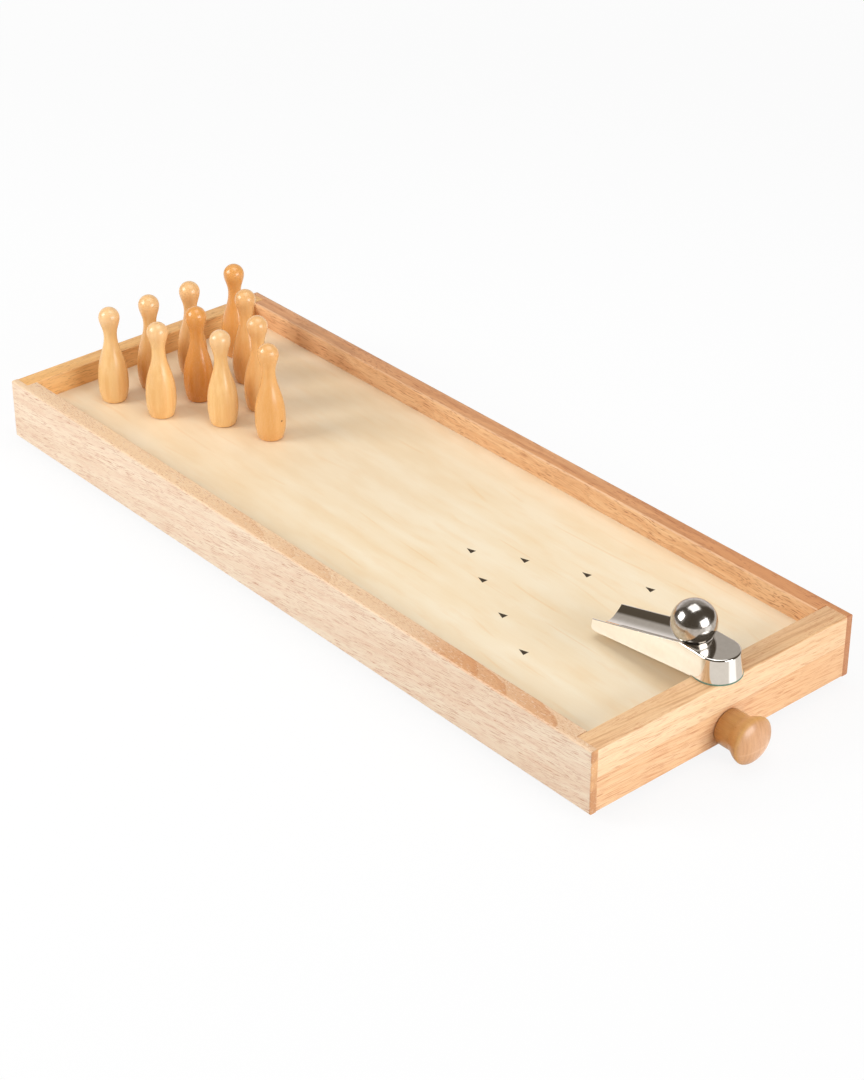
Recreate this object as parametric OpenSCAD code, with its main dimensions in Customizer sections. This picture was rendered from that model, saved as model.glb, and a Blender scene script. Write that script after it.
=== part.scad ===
// Table bowling game: a shallow wooden lane box with ten turned pins, a steel ball,
// a cast ramp to roll the ball from, and a pull knob whose strings stand the pins up again.
// +X is to the player's right, +Y runs down the lane to the pins, +Z is up.
// The origin is on the table, under the middle of the whole game.

/* [Case] */
// Width of the box over both side rails
case_w = 200; // [180:1:260]
// Length of the box over its front and back rails
case_l = 540; // [500:1:700]
// Height of the rails
rail_h = 40; // [38:1:52]
// Thickness of the side rails
side_t = 12; // [10:0.5:16]
// Thickness of the front rail
front_t = 16; // [14:0.5:20]
// Thickness of the back rail
back_t = 12; // [10:0.5:16]
// Lip of a side rail that covers the end of the front and back rails
lip_t = 4.4; // [3:0.1:6]
// Rounding along the long edges of the rails
rail_ease = 1; // [0.5:0.1:1.5]

/* [Lane] */
// Depth of the lane below the top of the rails
lane_drop = 14; // [12:0.5:16]
// Thickness of the lane plywood
lane_t = 4; // [3:0.5:5]
// Depth of the grooves that hold the lane
groove_d = 4; // [3:0.5:5]
// Gap between the edge of the lane and the bottom of its groove
groove_gap = 0.3; // [0.2:0.05:0.6]
// Width of an aiming arrow
arrow_w = 4.2; // [3:0.1:6]
// Length of an aiming arrow
arrow_l = 6; // [4:0.1:8]
// Depth of the arrow marks in the lane
arrow_t = 0.3; // [0.2:0.05:0.5]
// Distance from the first arrow to the front end of the box
arrow_from_front = 207; // [190:1:240]
// Step of the arrows across the lane
arrow_step_x = 16.4; // [12:0.1:20]
// Distance from the first arrow back to the first pair
arrow_first_step = 28.5; // [20:0.5:36]
// Distance from one pair of arrows back to the next
arrow_step_y = 35.3; // [24:0.1:40]

/* [Bottom] */
// Thickness of the bottom panel
bottom_t = 3; // [2:0.5:4]
// Width of the rabbet that the bottom panel lies in
rabbet_w = 6; // [4:0.5:8]
// Gap round the bottom panel
bottom_gap = 0.3; // [0.2:0.05:0.6]
// Height of the rubber feet
foot_h = 5; // [5:0.5:8]
// Diameter of the rubber feet
foot_d = 12; // [8:0.5:16]
// Distance from the outside of the box to the middle of a foot
foot_inset = 22; // [18:0.5:40]
// Diameter of a bottom panel screw
screw_d = 2.5; // [2:0.1:3]
// Diameter of the head of a bottom panel screw
screw_head_d = 5; // [4:0.1:5.5]
// Length of a bottom panel screw
screw_l = 12; // [10:0.5:16]
// Number of screws along each side rail
side_screws = 4; // [3:1:6]

/* [Pins] */
// Height of a pin
pin_h = 65; // [50:0.5:80]
// Radius of a pin's base
pin_base_r = 7.7; // [6:0.1:9]
// Radius of a pin's belly
pin_belly_r = 9.85; // [9:0.05:10.5]
// Height of the widest place of the belly
pin_belly_z = 12; // [8:0.5:18]
// Radius of a pin's neck
pin_neck_r = 4.25; // [3:0.05:5]
// Height of the neck
pin_neck_z = 45; // [38:0.5:48]
// Radius of a pin's head
pin_head_r = 6.75; // [5.5:0.05:8]
// Gap between a standing pin and the lane
pin_gap = 0.1; // [0.05:0.05:0.3]
// Radius of the string hole in a pin's base
pin_hole_r = 1.1; // [0.8:0.1:1.5]
// Depth of the string hole in a pin's base
pin_hole_l = 15; // [8:1:25]
// Distance from the last row of pins to the back end of the box
rack_from_back = 42.4; // [36:0.5:60]
// Distance between two rows of pins
row_step = 34.8; // [32:0.1:40]

/* [Ball and ramp] */
// Radius of the ball
ball_r = 13; // [11:0.1:13.1]
// Gap between the ball and the groove of the ramp
ball_gap = 0.3; // [0.2:0.05:0.5]
// Radius of the groove in the ramp
track_r = 13.6; // [13.5:0.1:15]
// Slope of the groove, in degrees
track_slope = 14.8; // [12:0.1:17]
// Height of the ramp above its felt
ramp_h = 14; // [12:0.5:18]
// Distance from the middle of the ramp's round end to its nose
ramp_l = 84; // [75:0.5:100]
// Radius of the ramp's round end at its foot
ramp_foot_r = 14.2; // [13.5:0.1:17]
// Half the width of the ramp over the lips of its groove
ramp_lip_r = 11.8; // [11.5:0.1:13]
// Rounding of the rim of the ramp's flat top
rim_round = 1.2; // [0.3:0.1:1.5]
// How far the ramp reaches down in front of the rail, below its foot
ramp_heel = 0.6; // [0.1:0.1:0.6]
// Height of the lips at the nose, below the ramp's foot
nose_drop = 3.6; // [2:0.1:5]
// Depth of the groove below the lips
track_depth = 5.8; // [5:0.1:6.5]
// Metal left under the groove at the nose
nose_floor = 0.8; // [0.6:0.1:1.5]
// Rounding of the nose, seen from the side
nose_round = 3; // [1:0.5:4]
// Distance of the ball in front of the middle of the round end
ball_seat = 18.5; // [16:0.1:24]
// Thickness of the felt under the ramp
felt_t = 1; // [0.5:0.1:2]
// How far the felt stands proud of the ramp's round foot
felt_proud = 0.2; // [0:0.1:0.5]
// Gap between the felt and the rail it stands on
felt_gap = 0.1; // [0.05:0.05:0.3]
// How far the ramp's round end hangs over the front of the box
ramp_overhang = 4.2; // [0:0.1:8]
// Place of the ramp to the right of the middle of the rail
ramp_x = 2; // [-40:1:40]

/* [Pull knob] */
// Radius of the knob's neck where it meets the front rail
knob_neck_r = 10.8; // [8:0.1:12]
// Radius of the knob's head
knob_head_r = 14.2; // [12:0.1:14.5]
// Length of the knob
knob_l = 23.4; // [18:0.1:30]
// Height of the knob's axis above the underside of the box
knob_z = 10; // [10:0.1:12]
// Place of the knob to the right of the middle of the front rail
knob_x = 1.8; // [-10:0.1:10]
// Gap between the knob and the front rail
knob_gap = 0.4; // [0.2:0.05:0.6]
// Radius of the rod behind the knob
rod_r = 4; // [3:0.1:4.5]
// Gap round the rod in the front rail
rod_gap = 0.1; // [0.05:0.05:0.4]
// Depth of the rod in the knob
rod_in_knob = 13; // [8:0.5:16]
// How far the knob can be pulled out
pull_travel = 20; // [16:1:40]
// Width of the bar that the strings are tied to
bar_w = 130; // [120:1:150]
// Thickness of the bar
bar_t = 10; // [8:0.5:14]
// Height of the bar
bar_h = 12; // [10:0.5:13]
// Radius of a pin string
string_r = 0.5; // [0.4:0.05:0.7]
// Gap round a string in its holes
string_gap = 0.75; // [0.3:0.05:1]
// Width of the waves in which a slack string lies, to each side
string_wave = 12; // [4:0.5:14]
// Length of a wave
string_wave_l = 140; // [120:5:200]
// Gap between a slack string and the bottom panel
string_lift = 0.3; // [0.1:0.05:0.5]

/* [Hidden] */
// Roundness of turned pieces, and of thin ones
turned_fn = 96;
thin_fn = 24;
// A cut reaches this far past the face it opens
cut = 1;

// The box: its middle and its inside faces
box_y = knob_l / 2 + knob_gap / 2;
inner_x = case_w / 2 - side_t;
front_y = -case_l / 2;
back_y = case_l / 2;
inner_front = front_y + front_t;
inner_back = back_y - back_t;
end_rail_w = case_w - 2 * lip_t;
lane_z = rail_h - lane_drop;
groove_reach = groove_d - groove_gap;

// The rows of pins, from the player's end, and each pin's place across the lane
last_row = back_y - rack_from_back;
pin_spots = [
    [-48.8, last_row + 1.6], [-19.3, last_row - 0.4], [12.2, last_row - 1.6], [49.8, last_row + 0.4],
    [-38, last_row - row_step - 1], [-6.5, last_row - row_step + 1], [32.3, last_row - row_step],
    [-14.9, last_row - 2 * row_step - 1], [15, last_row - 2 * row_step - 0.4],
    [-3.3, last_row - 3 * row_step - 0.4]
];

// The ramp: height of its foot, its profile and its groove. Its flat sides lean in by the
// same draft as its round end, from the foot to the lips.
ramp_y = front_y + ramp_foot_r - ramp_overhang;
ramp_z = rail_h + felt_gap + felt_t;
pad_l = inner_front - ramp_y;
nose_under = nose_drop + track_depth + nose_floor;
lip_start = ramp_l - (ramp_h + nose_drop) / tan(track_slope);
side_draft = (ramp_foot_r - ramp_lip_r) / (ramp_h + lip_start * tan(track_slope));
nose_r = ramp_lip_r + side_draft * (nose_under - nose_drop);
under_slope = atan((nose_under - ramp_heel) / (ramp_l - pad_l));
track_axis_h = (track_r - track_depth * cos(track_slope)) / cos(track_slope);
ball_low = track_r - ball_r - ball_gap;
// Height of the groove's axis at the nose, and at any distance behind it
function track_axis(v) = track_axis_h - nose_drop + (ramp_l - v) * tan(track_slope);
// The ball's middle lies under the groove's axis, square to the slope
axis_seat = ball_seat + ball_low * sin(track_slope);
ball_h = track_axis(axis_seat) - ball_low * cos(track_slope);

// The pull gear: where the bar's front face is when the knob is in
bar_y = inner_front + pull_travel;
bar_z = knob_z - bar_h / 2;
string_z = knob_z + bar_h / 4;

// Radius of a pin at a height: base to belly, belly to neck and neck to head
function ease_in(t, p) = (1 - cos(180 * pow(t, p))) / 2;
pin_head_z = pin_h - pin_head_r;
function pin_r(z) =
    z < pin_belly_z ? pin_base_r + (pin_belly_r - pin_base_r) * sin(90 * pow(z / pin_belly_z, 0.8)) :
    z < pin_neck_z ? pin_belly_r + (pin_neck_r - pin_belly_r)
        * ease_in((z - pin_belly_z) / (pin_neck_z - pin_belly_z), 1.3) :
    pin_neck_r + (pin_head_r - pin_neck_r)
        * ease_in((z - pin_neck_z) / (pin_head_z - pin_neck_z), 1.2);

// Put a piece of the box in its place over the feet
module in_box() {
    translate([0, box_y, foot_h]) children();
}

// A bar along Y with its four long edges rounded
module eased_bar(x0, x1, y0, y1, z0, z1, r) {
    translate([0, y1, 0]) rotate([90, 0, 0]) linear_extrude(y1 - y0) {
        translate([x0 + r, z0]) square([x1 - x0 - 2 * r, z1 - z0]);
        translate([x0, z0 + r]) square([x1 - x0, z1 - z0 - 2 * r]);
        for (x = [x0 + r, x1 - r], z = [z0 + r, z1 - r])
            translate([x, z]) circle(r, $fn = thin_fn);
    }
}

// The two end rails: a bar along X between the lips of the side rails
module end_bar(y0, y1) {
    rotate([0, 0, 90]) eased_bar(y0, y1, -end_rail_w / 2, end_rail_w / 2, 0, rail_h, rail_ease);
}

// The room that the lane and the bottom panel take out of the rails
module lane_room() {
    translate([-inner_x - groove_d, inner_front - groove_d, lane_z - lane_t])
        cube([2 * (inner_x + groove_d), inner_back - inner_front + 2 * groove_d, lane_t]);
}
module bottom_room() {
    translate([-inner_x - rabbet_w, inner_front - rabbet_w, -cut])
        cube([2 * (inner_x + rabbet_w), inner_back - inner_front + 2 * rabbet_w, bottom_t + cut]);
}

// Where the bottom panel's screws go: along both sides and across both ends
side_step = (inner_back - inner_front) / side_screws;
side_screw_x = inner_x + rabbet_w / 2;
end_screw_x = inner_x / 2;
screw_spots = [
    for (s = [-1, 1], i = [0 : side_screws - 1])
        [s * side_screw_x, inner_front + (i + 0.5) * side_step],
    for (s = [-1, 1], y = [inner_front - rabbet_w / 2, inner_back + rabbet_w / 2])
        [s * end_screw_x, y]
];
// A countersunk screw, head down, with its tip up in the rail
module screw() {
    head_h = (screw_head_d - screw_d) / 2;
    cylinder(h = head_h, r1 = screw_head_d / 2, r2 = screw_d / 2, $fn = thin_fn);
    cylinder(h = screw_l, r = screw_d / 2, $fn = thin_fn);
}
module all_screws() {
    for (p = screw_spots) translate([p[0], p[1], 0]) screw();
}

// A side rail, rabbeted at both ends for the end rails
module side_rail(s) {
    in_box() difference() {
        eased_bar(s > 0 ? inner_x : -case_w / 2, s > 0 ? case_w / 2 : -inner_x,
            front_y, back_y, 0, rail_h, rail_ease);
        for (y = [front_y - cut, inner_back])
            translate([-end_rail_w / 2, y, -cut])
                cube([end_rail_w, (y < 0 ? front_t : back_t) + cut, rail_h + 2 * cut]);
        lane_room();
        bottom_room();
        all_screws();
    }
}
module left_rail() {
    color("burlywood") side_rail(-1);
}
module right_rail() {
    color("peru") side_rail(1);
}

// The front rail, bored for the pull rod
module front_rail() {
    color("navajowhite") in_box() difference() {
        end_bar(front_y, inner_front);
        lane_room();
        bottom_room();
        all_screws();
        translate([knob_x, inner_front + cut, knob_z]) rotate([90, 0, 0])
            cylinder(h = front_t + 2 * cut, r = rod_r + rod_gap, $fn = turned_fn);
    }
}
module back_rail() {
    color("burlywood") in_box() difference() {
        end_bar(inner_back, back_y);
        lane_room();
        bottom_room();
        all_screws();
    }
}

// The seven arrows: one on the middle line and three pairs behind it
function arrow_y(i) = front_y + arrow_from_front
    - (i == 0 ? 0 : arrow_first_step + (abs(i) - 1) * arrow_step_y);
module arrow(x, y) {
    translate([x, y, lane_z - arrow_t]) linear_extrude(arrow_t)
        polygon([[-arrow_w / 2, -arrow_l / 2], [arrow_w / 2, -arrow_l / 2], [0, arrow_l / 2]]);
}
module all_arrows() {
    for (i = [-3 : 3]) arrow(i * arrow_step_x, arrow_y(i));
}
module lane() {
    color("cornsilk") in_box() difference() {
        translate([-inner_x - groove_reach, inner_front - groove_reach, lane_z - lane_t])
            cube([2 * (inner_x + groove_reach), inner_back - inner_front + 2 * groove_reach, lane_t]);
        all_arrows();
        for (p = pin_spots) translate([p[0], p[1], lane_z - lane_t - cut])
            cylinder(h = lane_t + 2 * cut, r = string_r + string_gap, $fn = thin_fn);
    }
}
module lane_arrows() {
    color("black") in_box() all_arrows();
}

module bottom_panel() {
    reach = rabbet_w - bottom_gap;
    color("wheat") in_box() difference() {
        translate([-inner_x - reach, inner_front - reach, 0])
            cube([2 * (inner_x + reach), inner_back - inner_front + 2 * reach, bottom_t]);
        all_screws();
    }
}
module panel_screws() {
    color("silver") in_box() all_screws();
}

// A rubber foot under a corner of the bottom panel, slightly tapered
module foot(sx, sy) {
    taper = 0.5;
    color("dimgray") in_box()
        translate([sx * (case_w / 2 - foot_inset), sy * (case_l / 2 - foot_inset), -foot_h])
            cylinder(h = foot_h, r1 = foot_d / 2 - taper, r2 = foot_d / 2, $fn = thin_fn * 2);
}
module foot_front_left() {
    foot(-1, -1);
}
module foot_front_right() {
    foot(1, -1);
}
module foot_back_left() {
    foot(-1, 1);
}
module foot_back_right() {
    foot(1, 1);
}

// The knob's outline: a straight neck that swells into a mushroom head
neck_l = knob_l * 0.4;
rim_l = knob_l * 0.79;
face_l = knob_l - rim_l;
module knob() {
    steps = 12;
    swell = [for (i = [0 : steps]) let (t = i / steps)
        [knob_neck_r + (knob_head_r - knob_neck_r) * ease_in(t, 0.9), neck_l + (rim_l - neck_l) * t]];
    face = [for (i = [1 : steps]) let (a = 90 * i / steps)
        [knob_head_r * pow(cos(a), 0.7), rim_l + face_l * pow(sin(a), 1.6)]];
    color("chocolate") in_box() translate([knob_x, front_y - knob_gap, knob_z]) rotate([90, 0, 0])
        difference() {
            rotate_extrude($fn = turned_fn)
                polygon(concat([[0, 0], [knob_neck_r, 0]], swell, face));
            translate([0, 0, -cut]) cylinder(h = rod_in_knob + cut, r = rod_r, $fn = turned_fn);
        }
}
module pull_rod() {
    rod_l = rod_in_knob + knob_gap + front_t + pull_travel + bar_t;
    color("tan") in_box() translate([knob_x, bar_y + bar_t, knob_z]) rotate([90, 0, 0])
        cylinder(h = rod_l, r = rod_r, $fn = turned_fn);
}
module pull_bar() {
    color("tan") in_box() difference() {
        translate([knob_x - bar_w / 2, bar_y, bar_z]) cube([bar_w, bar_t, bar_h]);
        translate([knob_x, bar_y - cut, knob_z]) rotate([-90, 0, 0])
            cylinder(h = bar_t + 2 * cut, r = rod_r, $fn = turned_fn);
        for (i = [0 : 9]) translate([string_x(i), bar_y - cut, string_z]) rotate([-90, 0, 0])
            cylinder(h = bar_t + 2 * cut, r = string_r + string_gap, $fn = thin_fn);
    }
}

// The strings leave the bar evenly spread, in the order in which their pins stand across the lane
string_order = [0, 2, 6, 9, 1, 4, 8, 3, 7, 5];
bar_end = 11;
function string_x(i) = knob_x + (string_order[i] - 4.5) * (bar_w - 2 * bar_end) / 9;

// A tube of eight sides through a list of points that runs along Y and may turn up along Z
sides = 8;
function unit(v) = v / norm(v);
function heading(path, i) = unit(path[min(i + 1, len(path) - 1)] - path[max(i - 1, 0)]);
function ring(p, t, r) =
    let (across = unit([1, 0, 0] - t * t[0]), up = cross(t, across))
    [for (k = [0 : sides - 1]) p + r * (across * cos(360 * k / sides) + up * sin(360 * k / sides))];
module tube(path, r) {
    n = len(path);
    points = [for (i = [0 : n - 1]) each ring(path[i], heading(path, i), r)];
    walls = [for (i = [0 : n - 2], k = [0 : sides - 1]) let (j = (k + 1) % sides)
        [i * sides + k, i * sides + j, (i + 1) * sides + j, (i + 1) * sides + k]];
    first = [for (k = [0 : sides - 1]) sides - 1 - k];
    last = [for (k = [0 : sides - 1]) (n - 1) * sides + k];
    polyhedron(points, concat([first], walls, [last]));
}

// A pin string at rest: out of the bar, down to the bottom panel, slack in waves along it,
// and up in a long bend through its hole to the lane's face. The waves of all ten strings
// run side by side and end in front of the first pin, so that no string crosses another.
bar_back = bar_y + bar_t;
string_low = bottom_t + string_lift + string_r;
string_rise = 34;
string_in_bar = bar_t * 0.75;
string_step = string_wave_l / 8;
wave_end = min([for (p = pin_spots) p[1]]) - string_rise;
function smooth(t) = let (u = min(max(t, 0), 1)) u * u * (3 - 2 * u);
function wave(y) = string_wave * sin(360 * (y - bar_back) / string_wave_l)
    * smooth((y - bar_back) / string_rise) * smooth((wave_end - y) / string_rise);
function slack_point(i, y, end) =
    let (t = (y - bar_back) / (end[1] - bar_back), down = smooth((y - bar_back) / string_rise))
    [string_x(i) + (end[0] - string_x(i)) * t + wave(y), y, string_z + (string_low - string_z) * down];
module pin_string(i) {
    spot = pin_spots[i];
    end = [spot[0], spot[1] - string_rise];
    count = round((end[1] - bar_back) / string_step);
    slack = [for (k = [0 : count]) slack_point(i, bar_back + (end[1] - bar_back) * k / count, end)];
    bend_steps = 6;
    hole = lane_z - lane_t;
    bend = [for (k = [1 : bend_steps]) let (a = 90 * k / bend_steps)
        [spot[0], spot[1] - string_rise * (1 - sin(a)), string_low + (hole - string_low) * (1 - cos(a))]];
    tied = [string_x(i), bar_back - string_in_bar, string_z];
    path = concat([tied], slack, bend, [[spot[0], spot[1], lane_z]]);
    color("ivory") in_box() tube(path, string_r);
}
module string_01() {
    pin_string(0);
}
module string_02() {
    pin_string(1);
}
module string_03() {
    pin_string(2);
}
module string_04() {
    pin_string(3);
}
module string_05() {
    pin_string(4);
}
module string_06() {
    pin_string(5);
}
module string_07() {
    pin_string(6);
}
module string_08() {
    pin_string(7);
}
module string_09() {
    pin_string(8);
}
module string_10() {
    pin_string(9);
}

// A turned pin, with the hole that its string is glued into
module pin(i) {
    edge = 0.5;
    rings = 36;
    crown = 8;
    side = [for (k = [0 : rings]) let (z = edge + (pin_head_z - edge) * k / rings) [pin_r(z), z]];
    top = [for (k = [1 : crown]) let (a = 90 * k / crown)
        [pin_head_r * cos(a), pin_head_z + pin_head_r * sin(a)]];
    color("goldenrod") in_box() translate([pin_spots[i][0], pin_spots[i][1], lane_z + pin_gap])
        difference() {
            rotate_extrude($fn = turned_fn)
                polygon(concat([[0, 0], [pin_r(0) - edge, 0]], side, top));
            translate([0, 0, -cut]) cylinder(h = pin_hole_l + cut, r = pin_hole_r, $fn = thin_fn);
        }
}
module pin_01() {
    pin(0);
}
module pin_02() {
    pin(1);
}
module pin_03() {
    pin(2);
}
module pin_04() {
    pin(3);
}
module pin_05() {
    pin(4);
}
module pin_06() {
    pin(5);
}
module pin_07() {
    pin(6);
}
module pin_08() {
    pin(7);
}
module pin_09() {
    pin(8);
}
module pin_10() {
    pin(9);
}

// Put a piece of the ramp in its place: +Y towards the nose, Z from the foot
module on_rail() {
    in_box() translate([ramp_x, ramp_y, ramp_z]) children();
}
// The cast blank: a drafted round end, level on top, that runs down to the nose
module ramp_blank() {
    slice = 0.01;
    steps = 4;
    brow_r = ramp_foot_r - side_draft * (ramp_h - rim_round);
    brow = [for (i = [0 : steps]) let (a = 90 * i / steps)
        [brow_r - rim_round * (1 - cos(a)), ramp_h - rim_round * (1 - sin(a))]];
    hull() {
        rotate_extrude($fn = 48) polygon(concat([[0, 0], [ramp_foot_r, 0]], brow, [[0, ramp_h]]));
        translate([-ramp_lip_r, lip_start, ramp_h - slice])
            cube([2 * ramp_lip_r, slice, slice]);
        translate([-ramp_lip_r, ramp_l - slice, -nose_drop - slice])
            cube([2 * ramp_lip_r, slice, slice]);
        translate([-nose_r, ramp_l - slice, -nose_under])
            cube([2 * nose_r, slice, slice]);
    }
}
// What lies under the ramp, seen from the side: the foot is level over the rail, and in front
// of it the underside slopes down to the rounded nose
module under_ramp() {
    steps = 6;
    deep = 2 * nose_under;
    round_y = ramp_l - nose_round;
    round_z = -ramp_heel - (round_y - pad_l) * tan(under_slope) + nose_round / cos(under_slope);
    nose = [for (i = [0 : steps]) let (a = -90 - under_slope + (90 + under_slope) * i / steps)
        [round_y + nose_round * cos(a), round_z + nose_round * sin(a)]];
    translate([-case_w / 2, 0, 0]) rotate([90, 0, 90]) linear_extrude(case_w)
        polygon(concat([[-2 * ramp_foot_r, 0], [pad_l, 0], [pad_l, -ramp_heel]], nose,
            [[ramp_l + cut, round_z], [ramp_l + cut, -deep], [-2 * ramp_foot_r, -deep]]));
}
module ramp_body() {
    color("lightgray") on_rail() difference() {
        ramp_blank();
        under_ramp();
        // The groove that the ball rolls down, round at its upper end
        translate([0, ball_seat, track_axis(ball_seat)]) {
            sphere(track_r, $fn = turned_fn);
            rotate([-90 - track_slope, 0, 0])
                cylinder(h = 2 * ramp_l, r = track_r, $fn = turned_fn);
        }
    }
}
// The felt is as round as the ramp's foot and ends just behind its heel
module ramp_felt() {
    felt_r = ramp_foot_r + felt_proud;
    trim = 0.2;
    color("darkseagreen") on_rail() translate([0, 0, -felt_t]) intersection() {
        cylinder(h = felt_t, r = felt_r, $fn = turned_fn);
        translate([-felt_r, -felt_r, 0])
            cube([2 * felt_r, felt_r + pad_l - trim, felt_t]);
    }
}
module ball() {
    color("silver") on_rail() translate([0, ball_seat, ball_h]) sphere(ball_r, $fn = turned_fn);
}

left_rail();
right_rail();
front_rail();
back_rail();
lane();
lane_arrows();
bottom_panel();
panel_screws();
foot_front_left();
foot_front_right();
foot_back_left();
foot_back_right();
knob();
pull_rod();
pull_bar();
ramp_body();
ramp_felt();
ball();
pin_01();
pin_02();
pin_03();
pin_04();
pin_05();
pin_06();
pin_07();
pin_08();
pin_09();
pin_10();
string_01();
string_02();
string_03();
string_04();
string_05();
string_06();
string_07();
string_08();
string_09();
string_10();
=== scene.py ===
import math

import bmesh
import bpy
from mathutils import Matrix, Vector


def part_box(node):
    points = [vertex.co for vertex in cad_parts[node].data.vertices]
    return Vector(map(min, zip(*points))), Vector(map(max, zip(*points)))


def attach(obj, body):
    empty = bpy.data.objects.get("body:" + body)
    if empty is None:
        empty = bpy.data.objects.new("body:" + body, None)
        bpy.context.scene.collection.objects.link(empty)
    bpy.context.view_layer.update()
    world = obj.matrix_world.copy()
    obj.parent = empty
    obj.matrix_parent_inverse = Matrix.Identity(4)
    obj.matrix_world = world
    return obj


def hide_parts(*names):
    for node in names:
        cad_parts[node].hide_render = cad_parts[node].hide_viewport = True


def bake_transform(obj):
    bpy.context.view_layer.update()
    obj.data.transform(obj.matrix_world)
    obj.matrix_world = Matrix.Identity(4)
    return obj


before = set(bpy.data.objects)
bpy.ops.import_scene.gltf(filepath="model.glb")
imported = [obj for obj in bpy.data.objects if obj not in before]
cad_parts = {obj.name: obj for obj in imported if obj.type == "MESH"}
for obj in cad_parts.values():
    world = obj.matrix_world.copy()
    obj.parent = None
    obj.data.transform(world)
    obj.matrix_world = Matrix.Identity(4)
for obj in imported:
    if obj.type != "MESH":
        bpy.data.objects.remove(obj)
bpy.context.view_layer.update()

# Side rails
# Two long rubberwood rails, each glued from two strips, planed, rounded and varnished. A lip at
# each end covers the end rails, and grooves hold the lane and the bottom panel.
MM = 0.001
SAME_PLACE = 0.002 * MM


def only(piece):
    """Makes a piece the one selected and active object."""
    bpy.ops.object.select_all(action="DESELECT")
    piece.select_set(True)
    bpy.context.view_layer.objects.active = piece


def settle(piece):
    """Moves a piece's place, turn and scale into its mesh."""
    only(piece)
    bpy.ops.object.transform_apply(location=True, rotation=True, scale=True)
    return piece


def block(name, low, high):
    """A block between two corners, to be shaped further."""
    bpy.ops.object.select_all(action="DESELECT")
    bpy.ops.mesh.primitive_cube_add(size=1, location=(Vector(low) + Vector(high)) / 2)
    piece = bpy.context.object
    piece.name = name
    piece.scale = Vector(high) - Vector(low)
    return settle(piece)


def pick(piece, kind="VERT", test=lambda part: True):
    """Goes into edit mode with the vertices, edges or faces selected that pass a test."""
    only(piece)
    bpy.ops.object.mode_set(mode="EDIT")
    bpy.ops.mesh.select_mode(type=kind)
    bpy.ops.mesh.select_all(action="DESELECT")
    mesh = bmesh.from_edit_mesh(piece.data)
    parts = {"VERT": mesh.verts, "EDGE": mesh.edges, "FACE": mesh.faces}[kind]
    for part in parts:
        if test(part):
            part.select_set(True)
    mesh.select_flush_mode()
    bmesh.update_edit_mesh(piece.data)


def runs_along(axis):
    """A test for straight edges along X, Y or Z, given as 0, 1 or 2."""
    def test(edge):
        line = edge.verts[1].co - edge.verts[0].co
        return abs(line[axis]) > 0.999 * line.length
    return test


def round_edges(piece, test, width, steps):
    """Rounds the edges that pass a test."""
    pick(piece, "EDGE", test)
    bpy.ops.mesh.bevel(offset=width, segments=steps, affect="EDGES")
    bpy.ops.object.mode_set(mode="OBJECT")


def carve(piece, *cutters):
    """Takes the shape of each cutter out of a piece."""
    for cutter in cutters:
        only(piece)
        bite = piece.modifiers.new("carve", "BOOLEAN")
        bite.operation = "DIFFERENCE"
        bite.solver = "EXACT"
        bite.object = cutter
        bpy.ops.object.modifier_apply(modifier=bite.name)
        bpy.data.objects.remove(cutter)


def shade_round(piece, angle):
    """Shades a piece smooth, apart from edges that are sharper than an angle in degrees."""
    only(piece)
    bpy.ops.object.shade_smooth_by_angle(angle=math.radians(angle))


def break_edges(piece, width, steps=2, angle=30):
    """Takes the sharpness off every edge, as sandpaper or casting does."""
    only(piece)
    broken = piece.modifiers.new("broken", "BEVEL")
    broken.width = width
    broken.segments = steps
    broken.limit_method = "ANGLE"
    broken.angle_limit = math.radians(angle)
    bpy.ops.object.modifier_apply(modifier=broken.name)
    shade_round(piece, angle)


def draw(name, points):
    """A line through points, drawn one vertex after the other, left open in edit mode."""
    bpy.ops.object.select_all(action="DESELECT")
    bpy.ops.mesh.primitive_plane_add(size=MM, location=points[0])
    line = bpy.context.object
    line.name = name
    bpy.ops.object.mode_set(mode="EDIT")
    bpy.ops.mesh.select_mode(type="VERT")
    bpy.ops.mesh.select_all(action="SELECT")
    bpy.ops.mesh.merge(type="CENTER")
    for here, there in zip(points, points[1:]):
        step = Vector(there) - Vector(here)
        bpy.ops.mesh.extrude_region_move(TRANSFORM_OT_translate={"value": step})
    return line


def close_up(piece):
    """Merges what lies together in edit mode and turns the faces outwards."""
    bpy.ops.mesh.select_all(action="SELECT")
    bpy.ops.mesh.remove_doubles(threshold=SAME_PLACE)
    bpy.ops.mesh.normals_make_consistent(inside=False)
    bpy.ops.object.mode_set(mode="OBJECT")
    return settle(piece)


def turned(name, outline, foot, axis=(0, 0, 1), steps=96):
    """A turned piece: an outline of radius and height in millimetres, spun about an axis."""
    axis = Vector(axis).normalized()
    out = axis.orthogonal().normalized()
    foot = Vector(foot)
    piece = draw(name, [foot + out * r * MM + axis * h * MM for r, h in outline])
    bpy.ops.mesh.select_all(action="SELECT")
    bpy.ops.mesh.spin(steps=steps, angle=2 * math.pi, center=foot, axis=axis)
    return close_up(piece)


def copied(piece, name, shift):
    """A copy of a piece with its own mesh, moved."""
    only(piece)
    bpy.ops.object.duplicate()
    copy = bpy.context.object
    copy.name = name
    copy.location = Vector(shift)
    return settle(copy)


def joined(pieces, name):
    """Several loose pieces as one object."""
    only(pieces[0])
    for piece in pieces[1:]:
        piece.select_set(True)
    bpy.ops.object.join()
    bpy.context.object.name = name
    return bpy.context.object


def placed(piece, node, body, finish):
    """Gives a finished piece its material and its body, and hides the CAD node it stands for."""
    piece.data.materials.clear()
    piece.data.materials.append(finish)
    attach(piece, body)
    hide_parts(node)


def shade(red, green, blue):
    """A colour given by its screen values from 0 to 255."""
    values = [part / 255 for part in (red, green, blue)]
    return [v / 12.92 if v < 0.04045 else ((v + 0.055) / 1.055) ** 2.4 for v in values] + [1.0]


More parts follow.
